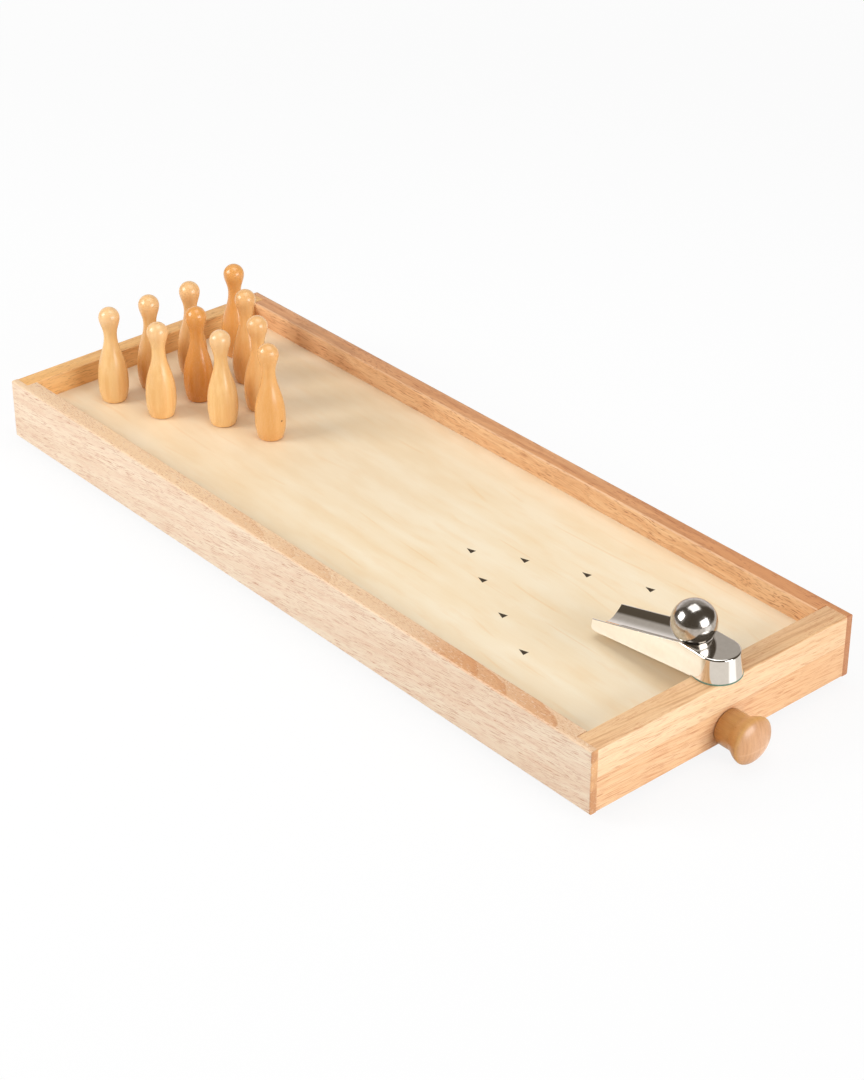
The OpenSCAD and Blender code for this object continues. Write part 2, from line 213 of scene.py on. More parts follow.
class Value:
    """A number or vector that a material works out; sums of Values become Math nodes."""

    def __init__(self, nodes, socket):
        self.nodes = nodes
        self.socket = socket

    def maths(self, operation, *others):
        return self.nodes.node("Math", {"operation": operation}, dict(enumerate((self, *others))))

    def __add__(self, other):
        return self.maths("ADD", other)

    def __mul__(self, other):
        return self.maths("MULTIPLY", other)

    def __sub__(self, other):
        return self.maths("SUBTRACT", other)

    def __rsub__(self, other):
        return self * -1.0 + other

    def __truediv__(self, other):
        return self.maths("DIVIDE", other)

    def __pow__(self, other):
        return self.maths("POWER", other)

    def __gt__(self, other):
        return self.maths("GREATER_THAN", other)

    __radd__ = __add__
    __rmul__ = __mul__

    def size(self):
        return self.maths("ABSOLUTE")

    def sine(self):
        return self.maths("SINE")

    def clamped(self):
        return self.nodes.node("Clamp", {}, {0: self})

    def rise(self, low, high):
        """From 0 at low to 1 at high, smoothly."""
        settings = {"interpolation_type": "SMOOTHSTEP"}
        return self.nodes.node("MapRange", settings, {"Value": self, "From Min": low, "From Max": high})


class Nodes:
    """A node tree under way."""

    def __init__(self, tree):
        self.tree = tree

    def node(self, kind, settings, inputs, output=0):
        """Adds a node: its settings first, then the values or links of its sockets."""
        made = self.tree.nodes.new("ShaderNode" + kind)
        for key, value in settings.items():
            setattr(made, key, value)
        for key, value in inputs.items():
            self.feed(made.inputs[key], value)
        return Value(self, made.outputs[output])

    def feed(self, socket, value):
        if isinstance(value, Value):
            self.tree.links.new(value.socket, socket)
        else:
            socket.default_value = value

    def vector(self, operation, first, second):
        inputs = {0: first, ("Scale" if operation == "SCALE" else 1): second}
        return self.node("VectorMath", {"operation": operation}, inputs)

    def parts(self, vector):
        return [self.node("SeparateXYZ", {}, {0: vector}, axis) for axis in "XYZ"]

    def mix(self, first, second, share):
        return self.node("Mix", {"data_type": "RGBA"}, {"Factor": share, 6: first, 7: second}, 2)


class Finish(Nodes):
    """A material under way. Its places are millimetres in the object's own coordinates."""

    def __init__(self, name):
        self.material = bpy.data.materials.new(name)
        self.material.use_nodes = True
        super().__init__(self.material.node_tree)
        self.shader = self.tree.nodes["Principled BSDF"]
        self.place = self.vector("SCALE", self.node("TexCoord", {}, {}, "Object"), 1 / MM)
        self.x, self.y, self.z = self.parts(self.place)

    def turned_place(self, along, offset=(0, 0, 0), tilt=(0, 0, 0)):
        """The place with its X along the grain, which runs along the object's X, Y or Z."""
        turn = {"X": (0, 0, 0), "Y": (0, 0, -90), "Z": (0, 90, 0)}[along]
        turn = [math.radians(a + b) for a, b in zip(turn, tilt)]
        return self.node("Mapping", {}, {"Vector": self.place, "Rotation": turn, "Location": offset})

    def noise(self, place, long, wide, detail=2.0, deep=None):
        """Noise whose spots are long by wide millimetres, between 0 and 1."""
        scaled = self.vector("MULTIPLY", place, (1 / long, 1 / wide, 1 / (deep or wide)))
        return self.node("TexNoise", {}, {"Vector": scaled, "Scale": 1.0, "Detail": detail}, "Fac")

    def done(self, colour, roughness, height=None, depth=0.0, **constant):
        """Feeds the shader: what varies is linked, and constants are set on its own sockets."""
        self.feed(self.shader.inputs["Base Color"], colour)
        self.feed(self.shader.inputs["Roughness"], roughness)
        if height:
            bump = self.node("Bump", {}, {"Height": height, "Distance": depth * MM})
            self.feed(self.shader.inputs["Normal"], bump)
        for name, value in constant.items():
            self.shader.inputs[name.replace("_", " ").title()].default_value = value
        return self.material


def wood(name, along, pale, warm, dark, seed, tilt=(0, 0, 0), wander=2.0, bands=0.6, band_wide=6.0,
         streaks=0.4, streak_wide=1.1, fibres=0.6, pores=0.5, pore_long=4.5, pore_wide=0.5,
         flecks=0.0, split=None, split_seed=0.0, tint=None, shine=0.45, coat=0.12):
    """Oiled or varnished wood: bands of growth, streaks, fibres that wander, pores and flecks."""
    finish = Finish(name)
    place = finish.turned_place(along, (seed, seed * 0.7, seed * 1.3), tilt)
    if split is not None:
        upper = finish.z > split
        jump = {"X": upper * split_seed, "Y": upper * 9.0, "Z": upper * 17.0}
        place = finish.vector("ADD", place, finish.node("CombineXYZ", {}, jump))
    sway = (finish.noise(place, 42, 16, 1.0) - 0.5) * (2 * wander)
    place = finish.vector("ADD", place, finish.node("CombineXYZ", {}, {"Y": sway, "Z": sway}))
    band = finish.noise(place, 130, band_wide, 2.0).rise(0.34, 0.66)
    streak = finish.noise(place, 24, streak_wide, 2.0).rise(0.5, 0.7)
    fibre = finish.noise(place, 30, 0.7, 2.0)
    pore = finish.noise(place, pore_long, pore_wide, 1.0).rise(0.56, 0.68)
    crowd = finish.noise(place, 45, 7, 1.0).rise(0.3, 0.55)
    tone = (band * bands + (fibre - 0.5) * fibres).clamped()
    colour = finish.mix(pale, warm, tone)
    colour = finish.mix(colour, dark, streak * streaks * (band * 0.6 + 0.4) * 0.55)
    if tint:
        colour = tint(finish, colour, place)
    colour = finish.mix(colour, dark, pore * (crowd * 0.6 + 0.4) * pores)
    if flecks:
        fleck = finish.noise(place, 2.4, 0.9, 1.0).rise(0.6, 0.7)
        colour = finish.mix(colour, pale, fleck * flecks)
    if split is not None:
        glue = 1 - (finish.z - split).size().rise(0.05, 0.4)
        colour = finish.mix(colour, dark, glue * 0.25)
    height = fibre * 0.5 - pore * 0.7
    roughness = (fibre - 0.5) * 0.2 + pore * 0.12 + shine
    return finish.done(colour, roughness, height, 0.03, coat_weight=coat, coat_roughness=0.25)


left_low, left_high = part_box("left_rail")
right_low, right_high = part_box("right_rail")
front_low, front_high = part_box("front_rail")
back_low, back_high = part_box("back_rail")
lane_low, lane_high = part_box("lane")
panel_low, panel_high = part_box("bottom_panel")
RAIL_EASE, CORNER_ROUND, SANDED = 1.0 * MM, 2.0 * MM, 0.15 * MM
# Room round the sheets in their grooves, and how far a cutter reaches past a piece
FIT, PAST = 0.3 * MM, 2.0 * MM
GLUE_LINE = left_low.z / MM + 22.0
LANE_THICK = 4.0 * MM
SCREW_R, SCREW_HEAD_R, SCREW_LONG = 1.25, 2.5, 12.0
SIDE_SCREWS = 4

rabbet = panel_high.x + FIT - right_low.x
inner_front, inner_back = front_high.y, back_low.y
side_step = (inner_back - inner_front) / SIDE_SCREWS
side_x = panel_high.x + FIT - rabbet / 2
screw_spots = [Vector((side * side_x, inner_front + (i + 0.5) * side_step, panel_low.z))
               for side in (-1, 1) for i in range(SIDE_SCREWS)]
screw_spots += [Vector((side * right_low.x / 2, y, panel_low.z))
                for side in (-1, 1) for y in (inner_front - rabbet / 2, inner_back + rabbet / 2)]
SCREW_HEAD_HIGH = SCREW_HEAD_R - SCREW_R
screw_outline = [(0, 0), (SCREW_HEAD_R, 0), (SCREW_R, SCREW_HEAD_HIGH),
                 (SCREW_R, SCREW_LONG), (0, SCREW_LONG)]


def screw_holes():
    first = turned("screw_hole", screw_outline, screw_spots[0], steps=24)
    others = [copied(first, "screw_hole", spot - screw_spots[0]) for spot in screw_spots[1:]]
    return joined([first] + others, "screw_holes")


def lane_groove():
    room = Vector((FIT, FIT, 0))
    return block("lane_groove", lane_low - room, lane_high + room)


def panel_rabbet():
    room = Vector((FIT, FIT, 0))
    return block("panel_rabbet", panel_low - room - Vector((0, 0, PAST)), panel_high + room)


def end_notch(low, high):
    away = Vector((0, PAST if low.y > 0 else 0, PAST))
    back = Vector((0, 0 if low.y > 0 else PAST, PAST))
    return block("end_notch", low - back, high + away)


def side_rail(name, low, high):
    rail = block(name, low, high)
    outside = low.x if low.x < 0 else high.x
    round_edges(rail, runs_along(1), RAIL_EASE, steps=4)
    round_edges(rail, lambda edge: runs_along(2)(edge) and abs(edge.verts[0].co.x - outside) < MM / 2,
                CORNER_ROUND, steps=5)
    carve(rail, end_notch(front_low, front_high), end_notch(back_low, back_high),
          lane_groove(), panel_rabbet(), screw_holes())
    break_edges(rail, SANDED)
    return rail


def on_top(finish, high, below=0.9):
    """A mask for a rail's top face, which begins in the rounding below it."""
    return finish.z.rise(high.z / MM - below, high.z / MM - 0.2)


def on_lip(finish, low):
    """A mask for the end grain on a side rail's front end."""
    return 1 - finish.y.rise(low.y / MM + 0.2, low.y / MM + 1.2)


def on_left_edge(finish, low, fade):
    """A mask for the thin painted highlight where a side rail's eased left edge catches the light."""
    return 1 - (finish.x - low.x / MM - 0.5).size().rise(0.3, fade)


def left_tints(finish, colour, place):
    """The outside is mottled, and the planed top is tanner, with figured tongues near the front."""
    outside = 1 - finish.x.rise(left_low.x / MM + 0.2, left_low.x / MM + 1.4)
    mottle = finish.noise(place, 22, 4, 2.0).rise(0.4, 0.65)
    colour = finish.mix(colour, shade(224, 178, 148), mottle * outside * 0.26)
    top = on_top(finish, left_high)
    tan = finish.mix(shade(226, 180, 132), shade(240, 198, 148), finish.y.rise(-150, 0))
    colour = finish.mix(colour, tan, top * 0.65)
    across = finish.x - left_low.x / MM + finish.noise(place, 14, 6, 1.0) * 3.0 - 2.0
    for tip, long, wide, strength in FIGURED:
        ahead = (finish.y - tip - long).maths("MINIMUM", 0.0) / long
        from_heart = across * across / wide ** 2 + ahead * ahead
        near_tip = 1 - finish.y.rise(tip + long * 0.5, tip + long * 2)
        tongue = top * (1 - from_heart.rise(0.93, 1.03)) * near_tip
        colour = finish.mix(colour, shade(212, 144, 84), tongue * 0.55 * strength)
        rim_share = tongue * from_heart.rise(0.6, 1.0) * 0.3 * strength
        colour = finish.mix(colour, shade(188, 118, 60), rim_share)
    # Painted highlight: a thin pale line where the eased outer edge of the top catches the light
    edge_highlight = top * on_left_edge(finish, left_low, 0.9)
    colour = finish.mix(colour, shade(250, 224, 192), edge_highlight * 0.5)
    patchy = finish.noise(finish.place, 9, 9, 1.0).rise(0.4, 0.6)
    end_grain = finish.mix(shade(226, 170, 112), shade(200, 136, 80), patchy)
    return finish.mix(colour, end_grain, on_lip(finish, left_low) * 0.9)


def right_tints(finish, colour, place):
    """The top is browner than the inside, with a thin pale painted highlight along the eased inner edge.
    """
    top = on_top(finish, right_high, 0.7)
    smoke = finish.noise(place, 70, 4, 2.0).rise(0.4, 0.62)
    near = 1 - finish.y.rise(-190, -40)
    colour = finish.mix(colour, shade(206, 140, 88), top * (near * 0.22 + 0.68))
    colour = finish.mix(colour, shade(172, 112, 72), top * smoke * 0.35)
    # Painted highlight along the inner edge, where the eased edge catches the light
    edge_highlight = top * on_left_edge(finish, right_low, 0.8)
    colour = finish.mix(colour, shade(244, 204, 160), edge_highlight * 0.55)
    return finish.mix(colour, shade(178, 108, 66), on_lip(finish, right_low) * 0.75)


# Tongues of figure on the left rail's top: front tip, length, width and strength
FIGURED = ((20, 34, 11, 0.36), (-8, 18, 10, 0.28), (-42, 30, 11, 0.42),
           (-167, 32, 13.5, 1), (-191, 36, 11, 1), (-229.4, 34, 11.6, 1))
left_wood = wood("left_rail_wood", "Y", shade(240, 220, 194), shade(230, 200, 170), shade(186, 114, 74),
                 seed=11.0, tilt=(6.4, 0, 0), wander=1.5, bands=0.5, band_wide=9.0, streaks=0.3,
                 streak_wide=0.45, fibres=0.45, pores=0.74, pore_long=9.0, pore_wide=0.3,
                 flecks=0.45, split=GLUE_LINE, split_seed=70.0, tint=left_tints)
right_wood = wood("right_rail_wood", "Y", shade(242, 198, 150), shade(226, 172, 122), shade(160, 88, 50),
                  seed=47.0, tilt=(-2, 0, 0), wander=4.0, bands=0.7, band_wide=3.5, streaks=0.5,
                  streak_wide=0.8, pores=0.7, pore_long=9.0, pore_wide=0.5, split=GLUE_LINE,
                  split_seed=41.0, tint=right_tints)
left_rail = side_rail("left_rail_dressed", left_low, left_high)
right_rail = side_rail("right_rail_dressed", right_low, right_high)
placed(left_rail, "left_rail", "case", left_wood)
placed(right_rail, "right_rail", "case", right_wood)

# End rails
# The front and back boards run between the lips of the side rails and are glued there. The
# front one is glued up from a creamy strip over a pinkish one and bored for the pull rod.
knob_low, knob_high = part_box("knob")
rod_low, rod_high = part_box("pull_rod")
rod_r = (rod_high.x - rod_low.x) / 2 / MM
pull_axis = Vector(((rod_low.x + rod_high.x) / 2, 0, (rod_low.z + rod_high.z) / 2))
BORE_GAP = 0.1


def drill(name, radius, place, low, high, steps=96):
    """A drill along Y at a place, right through the box from low to high."""
    deep = (high.y - low.y + 2 * PAST) / MM
    outline = [(0, 0), (radius, 0), (radius, deep), (0, deep)]
    return turned(name, outline, (place.x, low.y - PAST, place.z), (0, 1, 0), steps)


def end_rail(name, low, high, *more):
    rail = block(name, low, high)
    round_edges(rail, runs_along(0), RAIL_EASE, steps=4)
    carve(rail, lane_groove(), panel_rabbet(), screw_holes(), *more)
    break_edges(rail, SANDED)
    return rail


def front_tints(finish, colour, place):
    """The lower strip is pinker, the top is tan with brown bands and a paler inner edge."""
    lower = 1 - finish.z.rise(GLUE_LINE - 0.1, GLUE_LINE + 0.1)
    colour = finish.mix(colour, shade(240, 184, 130), lower * 0.5)
    lines = finish.noise(place, 30, 0.45, 2.0).rise(0.52, 0.66)
    colour = finish.mix(colour, shade(204, 122, 72), lower * lines * 0.6)
    colour = finish.mix(colour, shade(230, 176, 122), finish.x.rise(0, 80) * 0.35)
    top = on_top(finish, front_high)
    bands = finish.noise(finish.turned_place("X", (0, 12, 0), (0, 0, 4)), 55, 1.8, 2.0).rise(0.44, 0.64)
    outer_part = 1 - finish.y.rise(front_high.y / MM - 6, front_high.y / MM - 3)
    colour = finish.mix(colour, shade(228, 178, 122), top * 0.6)
    return finish.mix(colour, shade(186, 120, 68), top * bands * (outer_part * 0.85 + 0.15) * 0.5)


front_wood = wood("front_rail_wood", "X", shade(250, 218, 176), shade(242, 202, 156), shade(192, 106, 60),
                  seed=83.0, tilt=(0, -3.5, 0), wander=1.0, bands=0.6, band_wide=3.5, streaks=0.5,
                  streak_wide=0.5, pores=0.55, pore_long=10.0, pore_wide=0.32, split=GLUE_LINE,
                  split_seed=55.0, tint=front_tints)
back_wood = wood("back_rail_wood", "X", shade(238, 190, 126), shade(224, 164, 96), shade(150, 92, 46),
                 seed=29.0, wander=1.5, bands=0.6, band_wide=5.0, streaks=0.3, pores=0.5, pore_long=6.0,
                 pore_wide=0.45)
rod_bore = drill("rod_bore", rod_r + BORE_GAP, pull_axis, front_low, front_high)
front_rail = end_rail("front_rail_dressed", front_low, front_high, rod_bore)
back_rail = end_rail("back_rail_dressed", back_low, back_high)
placed(front_rail, "front_rail", "case", front_wood)
placed(back_rail, "back_rail", "case", back_wood)

# Lane
# The ball rolls on a sheet of pale plywood that slides in the rails' grooves. It is drilled
# under each pin for the string and varnished. Its face veneer has wide, faint cathedral lines.
RINGS_APART, RINGS_WARP = 19.0, 70.0


def lane_finish():
    finish = Finish("lane_plywood")
    place = finish.turned_place("Y", (20, 14, 0), (0, 0, 1.5))
    broad = finish.noise(place, 300, 17, 1.5).rise(0.35, 0.65)
    fibre = finish.noise(place, 40, 0.9, 2.0)
    cloud = finish.noise(place, 35, 12, 2.0).rise(0.3, 0.7)
    warp = finish.noise(place, 220, 60, 1.5)
    across = finish.node("SeparateXYZ", {}, {0: place}, "Y")
    rings = ((across + warp * RINGS_WARP) * (2 * math.pi / RINGS_APART)).sine()
    line = rings.rise(0.93, 1.0) * finish.noise(place, 50, 25, 1.0).rise(0.5, 0.66)
    smudge = finish.noise(place, 26, 6, 3.0).rise(0.5, 0.72)
    tone = (broad * 0.36 + cloud * 0.3 + (fibre - 0.5) * 0.28 + 0.05).clamped()
    colour = finish.mix(shade(245, 230, 202), shade(239, 213, 172), tone)
    colour = finish.mix(colour, shade(236, 196, 144), smudge * 0.18)
    colour = finish.mix(colour, shade(234, 188, 128), line * 0.28)
    # Partly the lane's own tone, partly painted shade: greyer and tanner towards the pins and on the
    # right, where their shadows fall
    painted_pin_shade = finish.y.rise(-120, 160) * (finish.x.rise(-95, 20) * 0.5 + 0.5)
    colour = finish.mix(colour, shade(222, 194, 156), painted_pin_shade * (cloud * 0.15 + 0.4))
    finish.shader.inputs["Specular IOR Level"].default_value = 0.25
    return finish.done(colour, fibre * 0.08 + 0.42, fibre, 0.01, coat_weight=0.08, coat_roughness=0.22)


def dressed_node(node, finish):
    """A CAD node whose shape is right keeps it and gets a finish."""
    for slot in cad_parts[node].material_slots:
        slot.material = finish


dressed_node("lane", lane_finish())

# Aiming arrows
# Seven small arrows show the ball's ways down the lane. They are printed in black ink, which
# soaks into the plywood a little unevenly.
def ink_finish():
    finish = Finish("arrow_ink")
    speck = finish.noise(finish.place, 0.5, 0.5, 2.0)
    colour = finish.mix(shade(54, 40, 20), shade(78, 60, 36), speck.rise(0.45, 0.7))
    return finish.done(colour, speck * 0.2 + 0.55)


dressed_node("lane_arrows", ink_finish())

# Bottom panel
# A thin, bare plywood panel closes the box from below. It is sawn to size, lies in the rails'
# rabbets and is held by screws.
panel_wood = wood("panel_plywood", "Y", shade(228, 200, 158), shade(212, 176, 128), shade(164, 116, 72),
                  seed=61.0, wander=6.0, bands=0.8, band_wide=12.0, streaks=0.3, pores=0.3, shine=0.6,
                  coat=0.0)
dressed_node("bottom_panel", panel_wood)

# Panel screws
# Twelve countersunk wood screws of zinc-plated steel, with cross recesses, are driven into the
# rails from below, flush with the panel.
RECESS_LONG, RECESS_WIDE, RECESS_DEEP, RECESS_TAPER = 2.6 * MM, 0.6 * MM, 1.0 * MM, 0.35
SCREW_TIP, SCREW_GAP, HEAD_EDGE = 2.5, 0.02, 0.1


def cross_recess(spot):
    """The hole of a cross screwdriver: two crossed bars that narrow with their depth."""
    bars = []
    for size in ((RECESS_LONG, RECESS_WIDE), (RECESS_WIDE, RECESS_LONG)):
        half = Vector((size[0] / 2, size[1] / 2, RECESS_DEEP))
        bar = block("recess", spot - half, spot + half)
        pick(bar, "FACE", lambda face: face.normal.z > 0.9)
        bpy.ops.transform.resize(value=(RECESS_TAPER, RECESS_TAPER, 1), center_override=spot)
        bpy.ops.object.mode_set(mode="OBJECT")
        bars.append(bar)
    return bars


def screw_finish():
    finish = Finish("screw_steel")
    cloud = finish.noise(finish.place, 1.2, 1.2, 3.0)
    colour = finish.mix(shade(196, 194, 186), shade(168, 166, 160), cloud)
    return finish.done(colour, cloud * 0.2 + 0.25, cloud, 0.01, metallic=1.0)


shank_r = SCREW_R - SCREW_GAP
screw_body = [(0, 0), (SCREW_HEAD_R - HEAD_EDGE, 0), (SCREW_HEAD_R - SCREW_GAP, HEAD_EDGE),
              (shank_r, SCREW_HEAD_HIGH), (shank_r, SCREW_LONG - SCREW_TIP),
              (0, SCREW_LONG - HEAD_EDGE)]
first_screw = turned("screw", screw_body, screw_spots[0], steps=32)
carve(first_screw, *cross_recess(screw_spots[0]))
shade_round(first_screw, 30)
screws = [first_screw] + [copied(first_screw, "screw", spot - screw_spots[0]) for spot in screw_spots[1:]]
placed(joined(screws, "panel_screws_dressed"), "panel_screws", "case", screw_finish())

# Feet
# Four feet lift the box a little, so that the knob clears the table. They are moulded from
# dark rubber and glued under the corners of the panel.
def rubber_finish():
    finish = Finish("foot_rubber")
    grain = finish.noise(finish.place, 0.35, 0.35, 2.0)
    colour = finish.mix(shade(58, 57, 55), shade(72, 71, 69), grain)
    return finish.done(colour, grain * 0.15 + 0.7, grain, 0.02)


def shares(steps):
    """From 0 to 1 in equal steps."""
    return [i / steps for i in range(steps + 1)]


def quarter(steps):
    """The angles of a quarter turn, from 0 up, in equal steps."""
    return [math.pi / 2 * share for share in shares(steps)]


FOOT_ROUND, FOOT_TAPER = 0.8, 0.5
rubber = rubber_finish()
for corner in ("front_left", "front_right", "back_left", "back_right"):
    low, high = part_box("foot_" + corner)
    tall, wide = (high.z - low.z) / MM, (high.x - low.x) / 2 / MM
    narrow = wide - FOOT_TAPER
    outline = [(0, 0)]
    for turn in quarter(5):
        outline.append((narrow - FOOT_ROUND * (1 - math.sin(turn)), FOOT_ROUND * (1 - math.cos(turn))))
    outline += [(wide, tall), (0, tall)]
    middle = ((low.x + high.x) / 2, (low.y + high.y) / 2, low.z)
    foot = turned("foot_" + corner + "_dressed", outline, middle, steps=48)
    shade_round(foot, 35)
    placed(foot, "foot_" + corner, "case", rubber)

# Pull knob
# The turned hardwood knob low on the front board is glued on the pull rod. Its straight neck
# swells into a mushroom head with a soft rim.
KNOB_NECK_R, KNOB_HEAD_R, KNOB_EASE, ROD_IN_KNOB = 10.8, 14.2, 0.3, 13.0
NECK_SHARE, RIM_SHARE, KNOB_SWELL, CAP_FULL, CAP_FLAT = 0.4, 0.79, 0.9, 0.7, 1.6
knob_long = (knob_high.y - knob_low.y) / MM
neck_end, knob_rim = knob_long * NECK_SHARE, knob_long * RIM_SHARE


def swell(share, power):
    """Eases from 0 to 1, and later the higher the power is."""
    return (1 - math.cos(math.pi * share ** power)) / 2


knob_outline = [(0, ROD_IN_KNOB), (rod_r, ROD_IN_KNOB), (rod_r, 0),
                (KNOB_NECK_R - KNOB_EASE, 0), (KNOB_NECK_R, KNOB_EASE)]
for share in shares(20):
    knob_outline.append((KNOB_NECK_R + (KNOB_HEAD_R - KNOB_NECK_R) * swell(share, KNOB_SWELL),
                         neck_end + (knob_rim - neck_end) * share))
for turn in quarter(24)[1:]:
    knob_outline.append((KNOB_HEAD_R * max(math.cos(turn), 0) ** CAP_FULL,
                         knob_rim + (knob_long - knob_rim) * math.sin(turn) ** CAP_FLAT))


def knob_tints(finish, colour, place):
    """End grain shows pinker on the face, with faint straight lines and one paler band."""
    face = 1 - finish.y.rise(knob_low.y / MM + 2.6, knob_low.y / MM + 4.6)
    lines = finish.noise(finish.place, 1.4, 30, 1.0, 14).rise(0.35, 0.65)
    band = 1 - (finish.z - pull_axis.z / MM + 3.4).size().rise(0.3, 0.9)
    end_grain = finish.mix(shade(216, 164, 122), shade(204, 150, 110), lines)
    end_grain = finish.mix(end_grain, shade(230, 186, 148), band * 0.4)
    return finish.mix(colour, end_grain, face * 0.8)


knob_wood = wood("knob_wood", "Y", shade(218, 164, 98), shade(200, 138, 74), shade(150, 92, 44),
                 seed=37.0, wander=0.5, bands=0.35, band_wide=3.0, streaks=0.12, streak_wide=0.6,
                 pores=0.2, pore_wide=0.35, tint=knob_tints, shine=0.3, coat=0.3)
knob_root = (pull_axis.x, knob_high.y, pull_axis.z)
knob = turned("knob_dressed", knob_outline, knob_root, (0, -1, 0), steps=128)
shade_round(knob, 50)
placed(knob, "knob", "puller", knob_wood)

# Pull rod and bar
# A bare dowel runs from the knob through the front board and is glued into a planed hardwood
# bar inside the box. The bar is drilled for the ten strings that it pulls.
bar_low, bar_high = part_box("pull_bar")
ROD_EASE, BAR_EASE, BAR_END = 0.4, 0.3 * MM, 11.0 * MM
STRING_R, STRING_GAP = 0.5, 0.75
string_z = (bar_low.z + bar_high.z) / 2 + (bar_high.z - bar_low.z) / 4
# The strings leave the bar evenly spread, in the order of their pins across the lane
STRING_ORDER = (0, 2, 6, 9, 1, 4, 8, 3, 7, 5)
last_string = len(STRING_ORDER) - 1
string_step = (bar_high.x - bar_low.x - 2 * BAR_END) / last_string
string_x = [pull_axis.x + (place - last_string / 2) * string_step for place in STRING_ORDER]

rod_long = (rod_high.y - rod_low.y) / MM
rod_outline = [(0, 0), (rod_r - ROD_EASE, 0), (rod_r, ROD_EASE),
               (rod_r, rod_long - ROD_EASE), (rod_r - ROD_EASE, rod_long), (0, rod_long)]
rod = turned("pull_rod_dressed", rod_outline, (pull_axis.x, rod_low.y, pull_axis.z), (0, 1, 0), steps=64)
shade_round(rod, 30)
dowel_wood = wood("dowel_wood", "Y", shade(226, 190, 142), shade(208, 164, 110), shade(160, 110, 64),
                  seed=5.0, pores=0.3, band_wide=2.5, shine=0.55, coat=0.0)
placed(rod, "pull_rod", "puller", dowel_wood)

bar = block("pull_bar_dressed", bar_low, bar_high)
holes = [drill("rod_hole", rod_r, pull_axis, bar_low, bar_high)]
for x in string_x:
    holes.append(drill("string_hole", STRING_R + STRING_GAP, Vector((x, 0, string_z)),
                       bar_low, bar_high, steps=24))
carve(bar, *holes)
break_edges(bar, BAR_EASE)
bar_wood = wood("bar_wood", "X", shade(224, 188, 138), shade(204, 160, 106), shade(156, 104, 60),
                seed=19.0, pores=0.4, shine=0.6, coat=0.0)
placed(bar, "pull_bar", "puller", bar_wood)

# Strings
# Ten twisted cotton strings run from the bar along the bottom panel and up through the lane,
# one to each pin. With the knob in they lie slack in waves, and pulling it draws them tight.
pin_boxes = [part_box(f"pin_{n:02d}") for n in range(1, 11)]
pin_feet = [Vector(((low.x + high.x) / 2, (low.y + high.y) / 2, low.z)) for low, high in pin_boxes]
STRING_WAVE, WAVE_LONG, STRING_RISE, STRING_LIFT = 12 * MM, 140 * MM, 34 * MM, 0.3 * MM
STRING_IN_BAR, ROUTE_STEP, STRING_FREE, TWIST_LONG = 7.5 * MM, 8 * MM, 150 * MM, 0.9
bar_back = bar_high.y
string_low = panel_high.z + STRING_LIFT + STRING_R * MM
wave_end = min(foot.y for foot in pin_feet) - STRING_RISE
hole_z = lane_high.z - LANE_THICK


def smooth(share):
    share = min(max(share, 0), 1)
    return share * share * (3 - 2 * share)


def wave(y):
    fade = smooth((y - bar_back) / STRING_RISE) * smooth((wave_end - y) / STRING_RISE)
    return STRING_WAVE * math.sin(2 * math.pi * (y - bar_back) / WAVE_LONG) * fade


def string_route(start_x, foot):
    """Out of the bar, down to the panel, along it in waves, and up through the lane."""
    points = [Vector((start_x, bar_back - STRING_IN_BAR, string_z))]
    end_y = foot.y - STRING_RISE
    for share in shares(round((end_y - bar_back) / ROUTE_STEP)):
        y = bar_back + (end_y - bar_back) * share
        down = smooth((y - bar_back) / STRING_RISE)
        points.append(Vector((start_x + (foot.x - start_x) * share + wave(y), y,
                              string_z + (string_low - string_z) * down)))
    for turn in quarter(12)[1:]:
        points.append(Vector((foot.x, foot.y - STRING_RISE * (1 - math.sin(turn)),
                              string_low + (hole_z - string_low) * (1 - math.cos(turn)))))
    return points + [Vector((foot.x, foot.y, lane_high.z))]


def cord(name, points, radius):
    """A round cord through points, as a closed mesh."""
    curve = bpy.data.curves.new(name, "CURVE")
    curve.dimensions = "3D"
    curve.bevel_depth = radius
    curve.bevel_resolution = 4
    curve.use_fill_caps = True
    line = curve.splines.new("POLY")
    line.points.add(len(points) - 1)
    for spot, point in zip(line.points, points):
        spot.co = (*point, 1)
    piece = bpy.data.objects.new(name, curve)
    bpy.context.collection.objects.link(piece)
    only(piece)
    bpy.ops.object.convert(target="MESH")
    piece = bpy.context.object
    bpy.ops.object.mode_set(mode="EDIT")
    close_up(piece)
    shade_round(piece, 50)
    return piece


def cotton_finish():
    finish = Finish("string_cotton")
    fuzz = finish.noise(finish.place, 0.25, 0.25, 2.0)
    turns = (finish.z + finish.y * 0.8 + finish.x * 0.6) * (2 * math.pi / TWIST_LONG)
    twist = turns.sine() * 0.5 + 0.5
    colour = finish.mix(shade(232, 224, 202), shade(206, 196, 170), twist * 0.6 + fuzz * 0.4)
    return finish.done(colour, fuzz * 0.1 + 0.85, twist, 0.12)


cotton = cotton_finish()
for n, (start_x, foot) in enumerate(zip(string_x, pin_feet), start=1):
    name = f"string_{n:02d}"
    piece = cord(name + "_dressed", string_route(start_x, foot), STRING_R * MM)
    piece.data.materials.append(cotton)
    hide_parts(name)
    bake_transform(piece)

